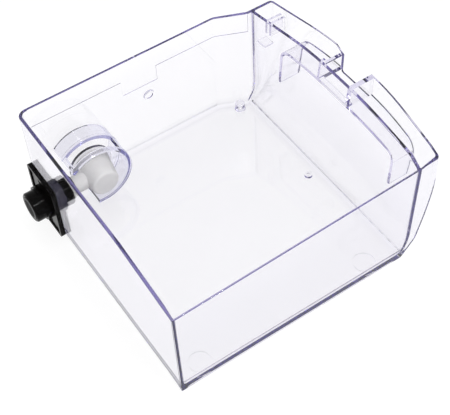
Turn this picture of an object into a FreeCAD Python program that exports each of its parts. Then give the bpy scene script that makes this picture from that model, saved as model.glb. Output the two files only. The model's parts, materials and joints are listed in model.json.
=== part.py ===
import FreeCAD, Part
import math
import os
import Sketcher

# Fresh water tank: a clear moulded drawer tank with a double, bowed front, a sprung
# outlet valve in a black connector on the rear wall, and a filter under a clear hood.
#
# Millimetres, +Z up. The origin is the centre of the flat underside.
# +X runs from the connector wall to the front fascia, +Y from the near wall to the far wall.
# Sketches of the tank are drawn from the rear near corner of the underside, those of the
# outlet from the mouth of the spigot along its axis, and those of the filter's drum from
# the drum's near end along its own axis.

DIMENSIONS = {
    # tank body
    "tank_width": 205.0,
    "floor_length": 193.0,
    "tank_height": 97.0,
    "low_corner_height": 87.5,
    "low_corner_reach": 66.7,
    "low_front_reach": 257.0,
    "wall": 2.5,
    "floor_thickness": 3.0,
    "rear_far_radius": 7.0,
    "rear_near_radius": 3.0,
    # plan of the far wall, which steps in near the front
    "step_depth": 10.5,
    "step_start": 167.0,
    "step_end": 191.5,
    # front: the chamfer under it, then the inner wall and the fascia, bowed at the top
    "chamfer_height": 14.0,
    "chamfer_top_reach": 203.5,
    "chamfer_bow_reach": 210.0,
    "inner_foot_reach": 197.0,
    "inner_curve_height": 9.0,
    "inner_curve_reach": 192.5,
    "inner_toe_reach": 187.0,
    "inner_foot_height": 26.0,
    "inner_near_reach": 199.5,
    "inner_far_reach": 196.5,
    "inner_bow_reach": 205.5,
    "fascia_low_height": 40.0,
    "fascia_low_reach": 205.5,
    "fascia_low_bow_reach": 220.0,
    "fascia_mid_height": 66.0,
    "fascia_mid_reach": 212.5,
    "fascia_mid_bow_reach": 224.0,
    "fascia_end_reach": 214.0,
    "fascia_bow_reach": 225.5,
    "bow_near": 68.0,
    "bow_far": 133.0,
    "gap_foot_height": 24.0,
    # finger notch in the fascia, and the webs beside it
    "notch_near": 87.0,
    "notch_far": 118.0,
    "notch_foot": 76.0,
    "notch_lead_in": 4.5,
    "near_web": 4.2,
    "far_web": 2.2,
    # arch-shaped web between the inner wall and the fascia
    "arch_near": 28.0,
    "arch_far": 161.0,
    "arch_top": 81.0,
    "arch_foot": 41.0,
    "arch_web": 2.6,
    "arch_radius": 9.0,
    # pair of short ribs at the far end of the gap
    "short_rib_place": 172.0,
    "short_rib": 2.0,
    "short_rib_space": 4.2,
    "short_rib_reach": 211.0,
    "short_rib_foot": 62.0,
    # level line on the far wall
    "level_height": 79.5,
    "level_drop": 65.5,
    "level_drop_start": 81.0,
    "level_drop_end": 115.5,
    "level_relief": 0.4,
    # small moulded features
    "ledge_height": 69.0,
    "ledge_place": 178.0,
    "ledge_width": 9.5,
    "ledge_depth": 9.0,
    "ledge_thickness": 1.8,
    "floor_boss_x": 181.0,
    "floor_boss_y": 100.0,
    "floor_boss_diameter": 6.0,
    "floor_boss_height": 2.0,
    "peg_x": 179.0,
    "peg_y": 190.0,
    "peg_diameter": 8.0,
    "peg_height": 6.0,
    "peg_bore": 4.0,
    "wall_boss_x": 104.5,
    "wall_boss_z": 54.0,
    "wall_boss_diameter": 9.0,
    "wall_boss_height": 1.2,
    "gate_diameter": 17.0,
    "gate_groove": 0.6,
    "gate_depth": 0.3,
    "gate_front_x": 165.0,
    "gate_rear_x": 22.0,
    "gate_y": 13.0,
    # outlet: its axis on the rear wall, and lengths along the axis from the mouth
    "outlet_y": 179.0,
    "outlet_z": 27.5,
    "spigot_reach": 16.0,
    "spigot_radius": 11.8,
    "collar_start": 8.0,
    "collar_radius": 13.5,
    "plate_start": 12.0,
    "plate_thickness": 3.0,
    "plate_width": 38.0,
    "plate_height": 51.0,
    "plate_radius": 3.0,
    "plate_rim": 2.2,
    "plate_recess": 0.9,
    "slot_width": 3.6,
    "slot_length": 11.0,
    "slot_offset": 16.2,
    "barrel_end": 36.0,
    "barrel_radius": 9.0,
    "mouth_radius": 8.0,
    "seal_pocket_radius": 9.6,
    "seal_pocket_depth": 2.0,
    "seat_start": 8.0,
    "throat_start": 10.0,
    "throat_radius": 5.0,
    "chamber_radius": 7.05,
    "gasket_thickness": 1.0,
    "gasket_margin": 1.0,
    "wall_hole_radius": 9.2,
    "washer_thickness": 1.0,
    "washer_radius": 12.6,
    "nut_length": 8.2,
    "nut_radius": 11.8,
    "nut_bore_radius": 9.05,
    "nut_slot_width": 4.0,
    "nut_slot_depth": 1.6,
    "nut_slot_length": 4.0,
    # shut-off valve
    "nose_start": 3.5,
    "nose_radius": 3.0,
    "seal_land_radius": 4.6,
    "head_start": 13.65,
    "head_radius": 6.4,
    "head_end": 15.9,
    "stem_radius": 1.8,
    "stem_end": 27.6,
    "seal_wire_radius": 0.8,
    "cage_start": 25.0,
    "cage_length": 3.0,
    "cage_ring_radius": 7.0,
    "cage_ring_wall": 1.3,
    "cage_hub_radius": 3.4,
    "cage_bore_radius": 1.85,
    "cage_spoke": 1.6,
    "spring_radius": 4.7,
    "spring_wire_radius": 0.4,
    "spring_turns": 4.0,
    # filter: a tapered drum lying across the outlet's axis, pushed into the barrel by its neck
    "drum_x": 41.9,
    "drum_near": 166.0,
    "drum_length": 23.0,
    "drum_near_radius": 10.9,
    "drum_far_radius": 15.0,
    "drum_wall": 1.4,
    "drum_edge_radius": 2.2,
    "neck_start": 31.0,
    "neck_radius": 7.0,
    "neck_bore_radius": 5.4,
    "neck_root": 11.0,
    "neck_groove_start": 32.6,
    "neck_groove_width": 1.6,
    "neck_groove_depth": 0.75,
    "flange_radius": 17.4,
    "flange_thickness": 2.2,
    "flange_plug": 2.4,
    "core_radius": 7.6,
    "core_wall": 1.2,
    "core_length": 15.0,
    "core_slot_width": 2.2,
    "core_slot_margin": 2.5,
    # hood over the filter
    "hood_x": 40.4,
    "hood_z": 30.2,
    "hood_radius": 26.8,
    "hood_wall": 2.4,
    "hood_near": 172.0,
    "hood_band": 0.6,
    "hood_band_width": 2.4,
    "hood_slot_start": 175.4,
    "hood_slot_end": 188.0,
    "hood_slot_x": 23.0,
    "hood_slot_reach": 61.0,
    "hood_slot_foot": 44.0,
}

V = FreeCAD.Vector

doc = FreeCAD.newDocument("fresh_water_tank")
sheet = doc.addObject("Spreadsheet::Sheet", "Dimensions")
for row, (alias, value) in enumerate(DIMENSIONS.items(), start=1):
    sheet.set(f"A{row}", alias.replace("_", " "))
    sheet.set(f"B{row}", str(value))
    sheet.setAlias(f"B{row}", alias)
doc.recompute()


def bound(expression):
    """Write an expression with the sheet's aliases as one that objects can bind to."""
    words = expression.replace("(", " ( ").replace(")", " ) ").split()
    return " ".join(f"Dimensions.{word}" if word in DIMENSIONS else word for word in words)


def new_body(label):
    body = doc.addObject("PartDesign::Body", label)
    body.Label = label
    return body


def base_plane(body, role):
    return next(item for item in body.Origin.OriginFeatures if item.Role == role)


def new_sketch(body, name, role, offset=None):
    """A sketch on one of the body's own base planes, moved along its normal by offset."""
    sketch = body.newObject("Sketcher::SketchObject", name)
    sketch.AttachmentSupport = (base_plane(body, role), "")
    sketch.MapMode = "FlatFace"
    if offset is not None:
        sketch.setExpression("AttachmentOffset.Base.z", bound(offset))
    return sketch


def place_point(sketch, edge, end, x, y, seed):
    """Fix one end, or the centre, of an edge at an expression's distance from the origin."""
    across = sketch.addConstraint(Sketcher.Constraint("DistanceX", -1, 1, edge, end, seed.x))
    sketch.setExpression(f"Constraints[{across}]", bound(x))
    up = sketch.addConstraint(Sketcher.Constraint("DistanceY", -1, 1, edge, end, seed.y))
    sketch.setExpression(f"Constraints[{up}]", bound(y))


def draw_polygon(sketch, corners):
    """A closed outline through corners given as pairs of expressions."""
    first = sketch.GeometryCount
    count = len(corners)
    seeds = [V(step, step * step, 0) for step in range(1, count + 1)]
    for step in range(count):
        sketch.addGeometry(Part.LineSegment(seeds[step], seeds[(step + 1) % count]), False)
    for step in range(count):
        following = first + (step + 1) % count
        sketch.addConstraint(Sketcher.Constraint("Coincident", first + step, 2, following, 1))
    for step, (x, y) in enumerate(corners):
        place_point(sketch, first + step, 1, x, y, seeds[step])


def draw_circle(sketch, x, y, radius):
    circle = sketch.addGeometry(Part.Circle(V(1, 1, 0), V(0, 0, 1), 1), False)
    place_point(sketch, circle, 3, x, y, V(1, 1, 0))
    size = sketch.addConstraint(Sketcher.Constraint("Radius", circle, 1))
    sketch.setExpression(f"Constraints[{size}]", bound(radius))


def pad(body, sketch, name, length, reverse=False):
    feature = body.newObject("PartDesign::Pad", name)
    feature.Profile = sketch
    feature.Reversed = reverse
    feature.setExpression("Length", bound(length))
    return feature


def pocket(body, sketch, name, length, reverse=False):
    feature = body.newObject("PartDesign::Pocket", name)
    feature.Profile = sketch
    feature.Reversed = reverse
    feature.setExpression("Length", bound(length))
    return feature


def loft(body, kind, name, sketches):
    feature = body.newObject(f"PartDesign::{kind}", name)
    feature.Profile = sketches[0]
    feature.Sections = sketches[1:]
    feature.Ruled = True
    return feature


def revolve(body, sketch, name):
    """Turn a profile drawn above the X axis about that axis."""
    feature = body.newObject("PartDesign::Revolution", name)
    feature.Profile = sketch
    feature.ReferenceAxis = (sketch, ["H_Axis"])
    feature.Angle = 360
    return feature


def fillet(body, base, name, radius, chosen):
    """Round the edges of base that the test named chosen picks out."""
    doc.recompute()
    edges = [
        f"Edge{number}"
        for number, edge in enumerate(base.Shape.Edges, start=1)
        if chosen(edge)
    ]
    feature = body.newObject("PartDesign::Fillet", name)
    feature.Base = (base, edges)
    feature.setExpression("Radius", bound(radius))
    return feature


def polar_pattern(body, feature, name, count):
    """Repeat a feature about the body's X axis."""
    pattern = body.newObject("PartDesign::PolarPattern", name)
    pattern.Originals = [feature]
    pattern.Axis = (base_plane(body, "X_Axis"), [""])
    pattern.Angle = 360
    pattern.Occurrences = count
    body.Tip = pattern
    return pattern


def place(body, x="0", y="0", z="0"):
    """Move a sub-part from its sketches' corner to its place in the tank."""
    body.setExpression("Placement.Base.x", bound(f"{x} - floor_length / 2"))
    body.setExpression("Placement.Base.y", bound(f"{y} - tank_width / 2"))
    body.setExpression("Placement.Base.z", bound(z))


def place_on_outlet(body):
    place(body, "0 - spigot_reach", "outlet_y", "outlet_z")


def size_of(alias):
    return float(sheet.get(alias))


def upright_at(x, y):
    """A test for the upright edge that stands at one point of the plan."""
    def chosen(edge):
        ends = [vertex.Point for vertex in edge.Vertexes]
        near = all(abs(end.x - x) < 0.01 and abs(end.y - y) < 0.01 for end in ends)
        return near and len(ends) == 2
    return chosen


# ---------------------------------------------------------------- tank shell

def plan_outline(near_end, bow, far_end, inset="0"):
    """The tank's plan at one height: how far its front reaches at each end and at the bow."""
    far = f"tank_width - {inset}"
    stepped = f"tank_width - step_depth - {inset}"
    return [
        (inset, inset),
        (near_end, inset),
        (bow, "bow_near"),
        (bow, "bow_far"),
        (far_end, stepped),
        (f"step_end - {inset}", stepped),
        (f"step_start - {inset} / 2", far),
        (inset, far),
    ]


def part_way(height, low, high):
    """How far the inner front wall reaches at a height, on its way from its foot to the rim."""
    rise = f"( {height} - chamfer_height ) / ( tank_height - chamfer_height )"
    return f"{low} + ( {high} - {low} ) * {rise}"


def gap_outline(height, outer_end, outer_bow):
    """The plan of the gap between the inner front wall and the fascia at one height."""
    far = "tank_width - step_depth - wall"
    inner_bow = part_way(height, "inner_foot_reach", "inner_bow_reach")
    return [
        (part_way(height, "inner_foot_reach", "inner_near_reach"), "wall"),
        (f"{outer_end} - wall", "wall"),
        (f"{outer_bow} - wall", "bow_near"),
        (f"{outer_bow} - wall", "bow_far"),
        (f"{outer_end} - wall", far),
        (part_way(height, "inner_foot_reach", "inner_far_reach"), far),
        (inner_bow, "bow_far"),
        (inner_bow, "bow_near"),
    ]


def plan_sketch(body, name, height, corners):
    sketch = new_sketch(body, name, "XY_Plane", height)
    draw_polygon(sketch, corners)
    return sketch


def arch_corner(corner_y, corner_z):
    """A test for an edge that runs to the front through one corner of the arch."""
    def chosen(edge):
        ends = [vertex.Point for vertex in edge.Vertexes]
        near = all(abs(end.y - corner_y) < 0.01 and abs(end.z - corner_z) < 0.01 for end in ends)
        return near and len(ends) == 2
    return chosen


def make_gap_core():
    """What fills the gap behind the fascia, less the webs and ribs that cross it."""
    body = new_body("gap_core")
    sections = []
    for name, height, end, bow in (
        ("gap_foot", "gap_foot_height", "chamfer_top_reach", "chamfer_bow_reach"),
        ("gap_low", "fascia_low_height", "fascia_low_reach", "fascia_low_bow_reach"),
        ("gap_middle", "fascia_mid_height", "fascia_mid_reach", "fascia_mid_bow_reach"),
        ("gap_top", "tank_height", "fascia_end_reach", "fascia_bow_reach"),
    ):
        sections.append(plan_sketch(body, name, height, gap_outline(height, end, bow)))
    filling = loft(body, "AdditiveLoft", "gap_filling", sections)
    doc.recompute()
    arch = new_sketch(body, "arch_path", "YZ_Plane", "inner_foot_reach - 5")
    draw_polygon(arch, [
        ("arch_near", "arch_foot"),
        ("arch_near + arch_web", "arch_foot"),
        ("arch_near + arch_web", "arch_top - arch_web"),
        ("arch_far - arch_web", "arch_top - arch_web"),
        ("arch_far - arch_web", "arch_foot"),
        ("arch_far", "arch_foot"),
        ("arch_far", "arch_top"),
        ("arch_near", "arch_top"),
    ])
    pocket(body, arch, "arch_web_gap", "fascia_bow_reach - inner_foot_reach + 10", True)
    web = size_of("arch_web")
    top = size_of("arch_top")
    for side, outer_y, inner_y in (
        ("near", size_of("arch_near"), size_of("arch_near") + web),
        ("far", size_of("arch_far"), size_of("arch_far") - web),
    ):
        fillet(
            body, body.Tip, f"arch_{side}_outside", "arch_radius",
            arch_corner(outer_y, top),
        )
        fillet(
            body, body.Tip, f"arch_{side}_inside", "arch_radius - arch_web",
            arch_corner(inner_y, top - web),
        )
    webs = new_sketch(body, "notch_webs", "YZ_Plane", "inner_foot_reach - 5")
    for near, far in (
        ("notch_near - near_web", "notch_near"),
        ("notch_far", "notch_far + far_web"),
    ):
        draw_polygon(webs, [
            (near, "arch_top - arch_web / 2"),
            (far, "arch_top - arch_web / 2"),
            (far, "tank_height + 1"),
            (near, "tank_height + 1"),
        ])
    pocket(body, webs, "notch_web_gaps", "fascia_bow_reach - inner_foot_reach + 10", True)
    ribs = new_sketch(body, "short_ribs", "YZ_Plane", "inner_foot_reach - 5")
    for near in ("short_rib_place", "short_rib_place + short_rib_space"):
        draw_polygon(ribs, [
            (near, "short_rib_foot"),
            (f"{near} + short_rib", "short_rib_foot"),
            (f"{near} + short_rib", "tank_height + 1"),
            (near, "tank_height + 1"),
        ])
    pocket(body, ribs, "short_rib_gaps", "short_rib_reach - inner_foot_reach + 5", True)
    doc.recompute()
    assert body.Shape.Volume < filling.Shape.Volume - 3000
    return body


def make_tank_shell():
    body = new_body("tank_shell")
    sections = []
    for name, height, end, bow in (
        ("outer_foot", "0", "floor_length", "floor_length"),
        ("outer_chamfer_top", "chamfer_height", "chamfer_top_reach", "chamfer_bow_reach"),
        ("outer_low", "fascia_low_height", "fascia_low_reach", "fascia_low_bow_reach"),
        ("outer_middle", "fascia_mid_height", "fascia_mid_reach", "fascia_mid_bow_reach"),
        ("outer_rim", "tank_height", "fascia_end_reach", "fascia_bow_reach"),
    ):
        sections.append(plan_sketch(body, name, height, plan_outline(end, bow, end)))
    outer = loft(body, "AdditiveLoft", "outer_form", sections)
    fillet(
        body, outer, "rear_far_corner", "rear_far_radius",
        upright_at(0, size_of("tank_width")),
    )
    near_corner = fillet(
        body, body.Tip, "rear_near_corner", "rear_near_radius", upright_at(0, 0),
    )
    doc.recompute()
    sections = []
    for name, height, near_end, bow, far_end in (
        (
            "hollow_floor", "floor_thickness",
            "inner_toe_reach", "inner_toe_reach", "inner_toe_reach",
        ),
        (
            "hollow_curve", "inner_curve_height",
            "inner_curve_reach", "inner_curve_reach", "inner_curve_reach",
        ),
        (
            "hollow_foot", "inner_foot_height",
            "inner_foot_reach", "inner_foot_reach", "inner_foot_reach",
        ),
        ("hollow_rim", "tank_height", "inner_near_reach", "inner_bow_reach", "inner_far_reach"),
    ):
        inside = plan_outline(f"{near_end} - wall", f"{bow} - wall", f"{far_end} - wall", "wall")
        sections.append(plan_sketch(body, name, height, inside))
    hollow = loft(body, "SubtractiveLoft", "hollow", sections)
    doc.recompute()
    assert hollow.Shape.Volume < near_corner.Shape.Volume / 3
    fillet(
        body, hollow, "inner_far_corner", "rear_far_radius - wall",
        upright_at(size_of("wall"), size_of("tank_width") - size_of("wall")),
    )

    cut = body.newObject("PartDesign::Boolean", "gap_cut")
    cut.Type = "Cut"
    cut.Group = [make_gap_core()]
    body.Tip = cut

    notch = new_sketch(body, "notch_outline", "YZ_Plane", "inner_bow_reach + wall")
    draw_polygon(notch, [
        ("notch_near", "notch_foot"),
        ("notch_far", "notch_foot"),
        ("notch_far", "tank_height - notch_lead_in"),
        ("notch_far + 2 * notch_lead_in", "tank_height"),
        ("notch_far + 2 * notch_lead_in", "tank_height + 1"),
        ("notch_near", "tank_height + 1"),
    ])
    pocket(body, notch, "finger_notch", "fascia_bow_reach - inner_bow_reach", True)

    cut_rear = new_sketch(body, "rim_slope_rear", "YZ_Plane")
    draw_polygon(cut_rear, [
        ("0", "low_corner_height"),
        ("low_corner_reach", "tank_height"),
        ("0", "tank_height"),
    ])
    fall = "( 1 - fascia_bow_reach / low_front_reach )"
    cut_front = new_sketch(body, "rim_slope_front", "YZ_Plane", "fascia_bow_reach")
    draw_polygon(cut_front, [
        ("0", f"tank_height - ( tank_height - low_corner_height ) * {fall}"),
        (f"low_corner_reach * {fall}", "tank_height"),
        ("0", "tank_height"),
    ])
    loft(body, "SubtractiveLoft", "rim_slope", [cut_rear, cut_front])

    level = new_sketch(body, "level_line", "XZ_Plane", "wall - tank_width")
    draw_polygon(level, [
        ("2 * rear_far_radius", "level_height"),
        ("level_drop_start", "level_height"),
        ("level_drop_start", "level_drop"),
        ("level_drop_end", "level_drop"),
        ("level_drop_end", "level_height"),
        ("step_start - 2 * wall", "level_height"),
        ("step_start - 2 * wall", "tank_height + 1"),
        ("2 * rear_far_radius", "tank_height + 1"),
    ])
    pocket(body, level, "level_relief_cut", "level_relief")

    hole = new_sketch(body, "outlet_hole", "YZ_Plane")
    draw_circle(hole, "outlet_y", "outlet_z", "wall_hole_radius")
    pocket(body, hole, "outlet_opening", "2 * wall", True)

    ledge = new_sketch(body, "level_ledge", "YZ_Plane", "inner_far_reach")
    draw_polygon(ledge, [
        ("ledge_place", "ledge_height"),
        ("ledge_place + ledge_width", "ledge_height"),
        ("ledge_place + ledge_width", "ledge_height + ledge_thickness"),
        ("ledge_place", "ledge_height + ledge_thickness"),
    ])
    pad(body, ledge, "ledge", "ledge_depth")

    boss = new_sketch(body, "floor_boss_outline", "XY_Plane", "floor_thickness - 0.5")
    draw_circle(boss, "floor_boss_x", "floor_boss_y", "floor_boss_diameter / 2")
    draw_circle(boss, "floor_boss_x", "floor_boss_y", "floor_boss_diameter / 4")
    pad(body, boss, "floor_boss", "floor_boss_height + 0.5")

    peg = new_sketch(body, "peg_outline", "XY_Plane", "floor_thickness - 0.5")
    draw_circle(peg, "peg_x", "peg_y", "peg_diameter / 2")
    draw_circle(peg, "peg_x", "peg_y", "peg_bore / 2")
    pad(body, peg, "peg", "peg_height + 0.5")

    wall_boss = new_sketch(body, "wall_boss_outline", "XZ_Plane", "wall / 2 - tank_width")
    draw_circle(wall_boss, "wall_boss_x", "wall_boss_z", "wall_boss_diameter / 2")
    draw_circle(wall_boss, "wall_boss_x", "wall_boss_z", "wall_boss_diameter / 3")
    pad(body, wall_boss, "wall_boss", "wall_boss_height + wall / 2")

    gates = new_sketch(body, "gate_rings", "XY_Plane")
    for place_x in ("gate_front_x", "gate_rear_x"):
        draw_circle(gates, place_x, "gate_y", "gate_diameter / 2")
        draw_circle(gates, place_x, "gate_y", "gate_diameter / 2 - gate_groove")
    pocket(body, gates, "gate_marks", "gate_depth", True)

    place(body)
    return body


# ---------------------------------------------------------------- outlet

def make_connector_body():
    body = new_body("connector_body")
    profile = new_sketch(body, "turned_profile", "XZ_Plane")
    plate_end = "plate_start + plate_thickness"
    draw_polygon(profile, [
        ("0", "seal_pocket_radius"),
        ("seal_pocket_depth", "seal_pocket_radius"),
        ("seal_pocket_depth", "mouth_radius"),
        ("seat_start", "mouth_radius"),
        ("throat_start", "throat_radius"),
        ("plate_start", "throat_radius"),
        ("plate_start", "chamber_radius"),
        ("barrel_end", "chamber_radius"),
        ("barrel_end", "barrel_radius"),
        (plate_end, "barrel_radius"),
        ("plate_start", "collar_radius"),
        ("collar_start", "collar_radius"),
        ("collar_start", "spigot_radius"),
        ("1", "spigot_radius"),
        ("0", "spigot_radius - 1"),
    ])
    turned = revolve(body, profile, "turned_form")
    doc.recompute()
    face = new_sketch(body, "plate_outline", "YZ_Plane", "plate_start")
    half_width = "plate_width / 2"
    half_height = "plate_height / 2"
    draw_polygon(face, [
        (f"0 - {half_width}", f"0 - {half_height}"),
        (half_width, f"0 - {half_height}"),
        (half_width, half_height),
        (f"0 - {half_width}", half_height),
    ])
    draw_circle(face, "0", "0", "chamber_radius")
    plate = pad(body, face, "plate", "plate_thickness")
    doc.recompute()
    assert plate.Shape.Volume > turned.Shape.Volume + 3000

    corner_y = size_of("plate_width") / 2
    corner_z = size_of("plate_height") / 2

    def plate_corner(edge):
        middle = edge.CenterOfMass
        at_corner = abs(abs(middle.y) - corner_y) < 0.01 and abs(abs(middle.z) - corner_z) < 0.01
        return at_corner

    fillet(body, plate, "plate_corners", "plate_radius", plate_corner)
    tray = new_sketch(body, "plate_tray", "YZ_Plane", "plate_start")
    tray_width = "( plate_width / 2 - plate_rim )"
    tray_height = "( plate_height / 2 - plate_rim )"
    draw_polygon(tray, [
        (f"0 - {tray_width}", f"0 - {tray_height}"),
        (tray_width, f"0 - {tray_height}"),
        (tray_width, tray_height),
        (f"0 - {tray_width}", tray_height),
    ])
    draw_circle(tray, "0", "0", "collar_radius")
    pocket(body, tray, "plate_tray_cut", "plate_recess", True)
    slots = new_sketch(body, "plate_slots", "YZ_Plane", "plate_start")
    for side in ("slot_offset", "0 - slot_offset - slot_width"):
        draw_polygon(slots, [
            ("0 - slot_length / 2", side),
            ("slot_length / 2", side),
            ("slot_length / 2", f"{side} + slot_width"),
            ("0 - slot_length / 2", f"{side} + slot_width"),
        ])
    pocket(body, slots, "plate_slot_cuts", "2 * plate_recess", True)
    place_on_outlet(body)
    return body


def make_turned_piece(label, corners):
    """A piece turned about the outlet's axis, from the corners of its half section."""
    body = new_body(label)
    profile = new_sketch(body, f"{label}_profile", "XZ_Plane")
    draw_polygon(profile, corners)
    revolve(body, profile, f"{label}_form")
    place_on_outlet(body)
    return body


def ring_section(start, end, inner, outer):
    return [(start, inner), (end, inner), (end, outer), (start, outer)]


def make_mouth_seal():
    return make_turned_piece("mouth_seal", ring_section(
        "0 - 0.4", "seal_pocket_depth", "mouth_radius - 0.8", "seal_pocket_radius - 0.05",
    ))


def make_flange_gasket():
    body = new_body("flange_gasket")
    outline = new_sketch(body, "gasket_outline", "YZ_Plane", "plate_start + plate_thickness")
    half_width = "( plate_width / 2 - gasket_margin )"
    half_height = "( plate_height / 2 - gasket_margin )"
    draw_polygon(outline, [
        (f"0 - {half_width}", f"0 - {half_height}"),
        (half_width, f"0 - {half_height}"),
        (half_width, half_height),
        (f"0 - {half_width}", half_height),
    ])
    draw_circle(outline, "0", "0", "wall_hole_radius")
    pad(body, outline, "gasket_sheet", "gasket_thickness")
    place_on_outlet(body)
    return body


def make_slip_washer():
    start = "spigot_reach + wall"
    return make_turned_piece("slip_washer", ring_section(
        start, f"{start} + washer_thickness", "wall_hole_radius", "washer_radius",
    ))


def make_retaining_nut():
    start = "spigot_reach + wall + washer_thickness"
    end = f"{start} + nut_length"
    body = make_turned_piece("retaining_nut", ring_section(
        start, end, "nut_bore_radius", "nut_radius",
    ))
    slot = new_sketch(body, "spanner_slot", "YZ_Plane", end)
    draw_polygon(slot, [
        ("0 - nut_slot_width / 2", "nut_radius - nut_slot_depth"),
        ("nut_slot_width / 2", "nut_radius - nut_slot_depth"),
        ("nut_slot_width / 2", "nut_radius + 1"),
        ("0 - nut_slot_width / 2", "nut_radius + 1"),
    ])
    cut = pocket(body, slot, "spanner_slot_cut", "nut_slot_length")
    polar_pattern(body, cut, "spanner_slots", 8)
    return body


# ---------------------------------------------------------------- shut-off valve

def make_valve_poppet():
    return make_turned_piece("valve_poppet", [
        ("nose_start", "0"),
        ("stem_end", "0"),
        ("stem_end", "stem_radius"),
        ("head_end", "stem_radius"),
        ("head_end", "head_radius"),
        ("head_start", "head_radius"),
        ("head_start", "seal_land_radius"),
        ("plate_start", "seal_land_radius"),
        ("plate_start - 1.5", "nose_radius"),
        ("nose_start + 1", "nose_radius"),
        ("nose_start", "nose_radius - 1"),
    ])


def make_poppet_seal():
    """The O-ring is a torus about the outlet's axis, just behind the throat."""
    ring = doc.addObject("Part::Torus", "poppet_seal")
    ring.Label = "poppet_seal"
    ring.setExpression("Radius1", bound("seal_land_radius + seal_wire_radius + 0.01"))
    ring.setExpression("Radius2", bound("seal_wire_radius"))
    ring.setExpression("Placement.Base.x", bound(
        "plate_start + seal_wire_radius + 0.02 - spigot_reach - floor_length / 2"))
    ring.setExpression("Placement.Base.y", bound("outlet_y - tank_width / 2"))
    ring.setExpression("Placement.Base.z", bound("outlet_z"))
    ring.setExpression("Placement.Rotation.Angle", "90")
    ring.Placement.Rotation = FreeCAD.Rotation(V(0, 1, 0), 90)
    return ring


def make_valve_spring():
    """A coil spring between the poppet's head and the cage, swept along a smooth coil."""
    wire_radius = size_of("spring_wire_radius")
    clearance = 0.1
    start = size_of("head_end") + wire_radius + clearance
    length = size_of("cage_start") - wire_radius - clearance - start
    radius = size_of("spring_radius")
    steps_per_turn = 8
    steps = int(size_of("spring_turns") * steps_per_turn)
    points = []
    for step in range(steps + 1):
        angle = 2 * math.pi * step / steps_per_turn
        points.append(V(radius * math.cos(angle), radius * math.sin(angle), length * step / steps))
    coil_line = Part.BSplineCurve()
    coil_line.interpolate(points)
    heading = coil_line.tangent(coil_line.FirstParameter)[0]
    section = Part.Wire(Part.makeCircle(wire_radius, points[0], heading))
    spring = doc.addObject("Part::Feature", "valve_spring")
    spring.Label = "valve_spring"
    spring.Shape = Part.Wire(coil_line.toShape()).makePipeShell([section], True, False)
    spring.Placement = FreeCAD.Placement(
        V(
            start - size_of("spigot_reach") - size_of("floor_length") / 2,
            size_of("outlet_y") - size_of("tank_width") / 2,
            size_of("outlet_z"),
        ),
        FreeCAD.Rotation(V(0, 1, 0), 90),
    )
    return spring


def make_spring_cage():
    end = "cage_start + cage_length"
    body = new_body("spring_cage")
    rings = new_sketch(body, "cage_rings", "YZ_Plane", "cage_start")
    draw_circle(rings, "0", "0", "cage_ring_radius")
    draw_circle(rings, "0", "0", "cage_ring_radius - cage_ring_wall")
    pad(body, rings, "cage_ring", "cage_length")
    spoke = new_sketch(body, "cage_spoke_outline", "YZ_Plane", "cage_start")
    draw_polygon(spoke, [
        ("0 - cage_spoke / 2", "cage_hub_radius - 0.6"),
        ("cage_spoke / 2", "cage_hub_radius - 0.6"),
        ("cage_spoke / 2", "cage_ring_radius - cage_ring_wall / 2"),
        ("0 - cage_spoke / 2", "cage_ring_radius - cage_ring_wall / 2"),
    ])
    arm = pad(body, spoke, "cage_spoke_form", "cage_length")
    polar_pattern(body, arm, "cage_spokes", 3)
    hub = new_sketch(body, "cage_hub_outline", "YZ_Plane", "cage_start")
    draw_circle(hub, "0", "0", "cage_hub_radius")
    draw_circle(hub, "0", "0", "cage_bore_radius")
    pad(body, hub, "cage_hub", "cage_length")
    place_on_outlet(body)
    return body


# ---------------------------------------------------------------- filter

def place_on_drum(body):
    """Turn a body drawn along its own X axis to lie along the drum, from the drum's near end."""
    body.Placement.Rotation = FreeCAD.Rotation(V(0, 0, 1), 90)
    place(body, "drum_x", "drum_near", "outlet_z")


def make_drum_piece(label, corners):
    """A piece turned about the drum's axis, from the corners of its half section."""
    body = new_body(label)
    profile = new_sketch(body, f"{label}_profile", "XZ_Plane")
    draw_polygon(profile, corners)
    revolve(body, profile, f"{label}_form")
    return body


def make_filter_drum():
    """The drum is closed at its narrow near end, and its neck stands out of its side."""
    body = make_drum_piece("filter_drum", [
        ("0", "0"),
        ("drum_wall", "0"),
        ("drum_wall", "drum_near_radius - drum_wall"),
        ("drum_length", "drum_far_radius - drum_wall"),
        ("drum_length", "drum_far_radius"),
        ("0", "drum_near_radius"),
    ])
    radius = size_of("drum_near_radius")

    def near_edge(edge):
        if not isinstance(edge.Curve, Part.Circle):
            return False
        return abs(edge.Curve.Radius - radius) < 0.01 and abs(edge.Curve.Center.x) < 0.01

    fillet(body, body.Tip, "drum_rounding", "drum_edge_radius", near_edge)
    doc.recompute()
    rounded = body.Tip.Shape.Volume
    along = "outlet_y - drum_near"
    tip = "drum_x + spigot_reach - neck_start"
    neck = new_sketch(body, "neck_outline", "XZ_Plane", f"0 - ( {tip} )")
    draw_circle(neck, along, "0", "neck_radius")
    pad(body, neck, "neck", f"{tip} - neck_root")
    groove = new_sketch(
        body, "neck_groove_outline", "XZ_Plane", f"neck_groove_start - neck_start - ( {tip} )",
    )
    draw_circle(groove, along, "0", "neck_radius + 1")
    draw_circle(groove, along, "0", "neck_radius - neck_groove_depth")
    pocket(body, groove, "neck_groove", "neck_groove_width", True)
    bore = new_sketch(body, "neck_bore_outline", "XZ_Plane", f"0 - ( {tip} )")
    draw_circle(bore, along, "0", "neck_bore_radius")
    pocket(body, bore, "neck_bore", f"{tip} - neck_root / 2", True)
    doc.recompute()
    assert body.Tip.Shape.Volume > rounded + 400
    place_on_drum(body)
    return body


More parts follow.
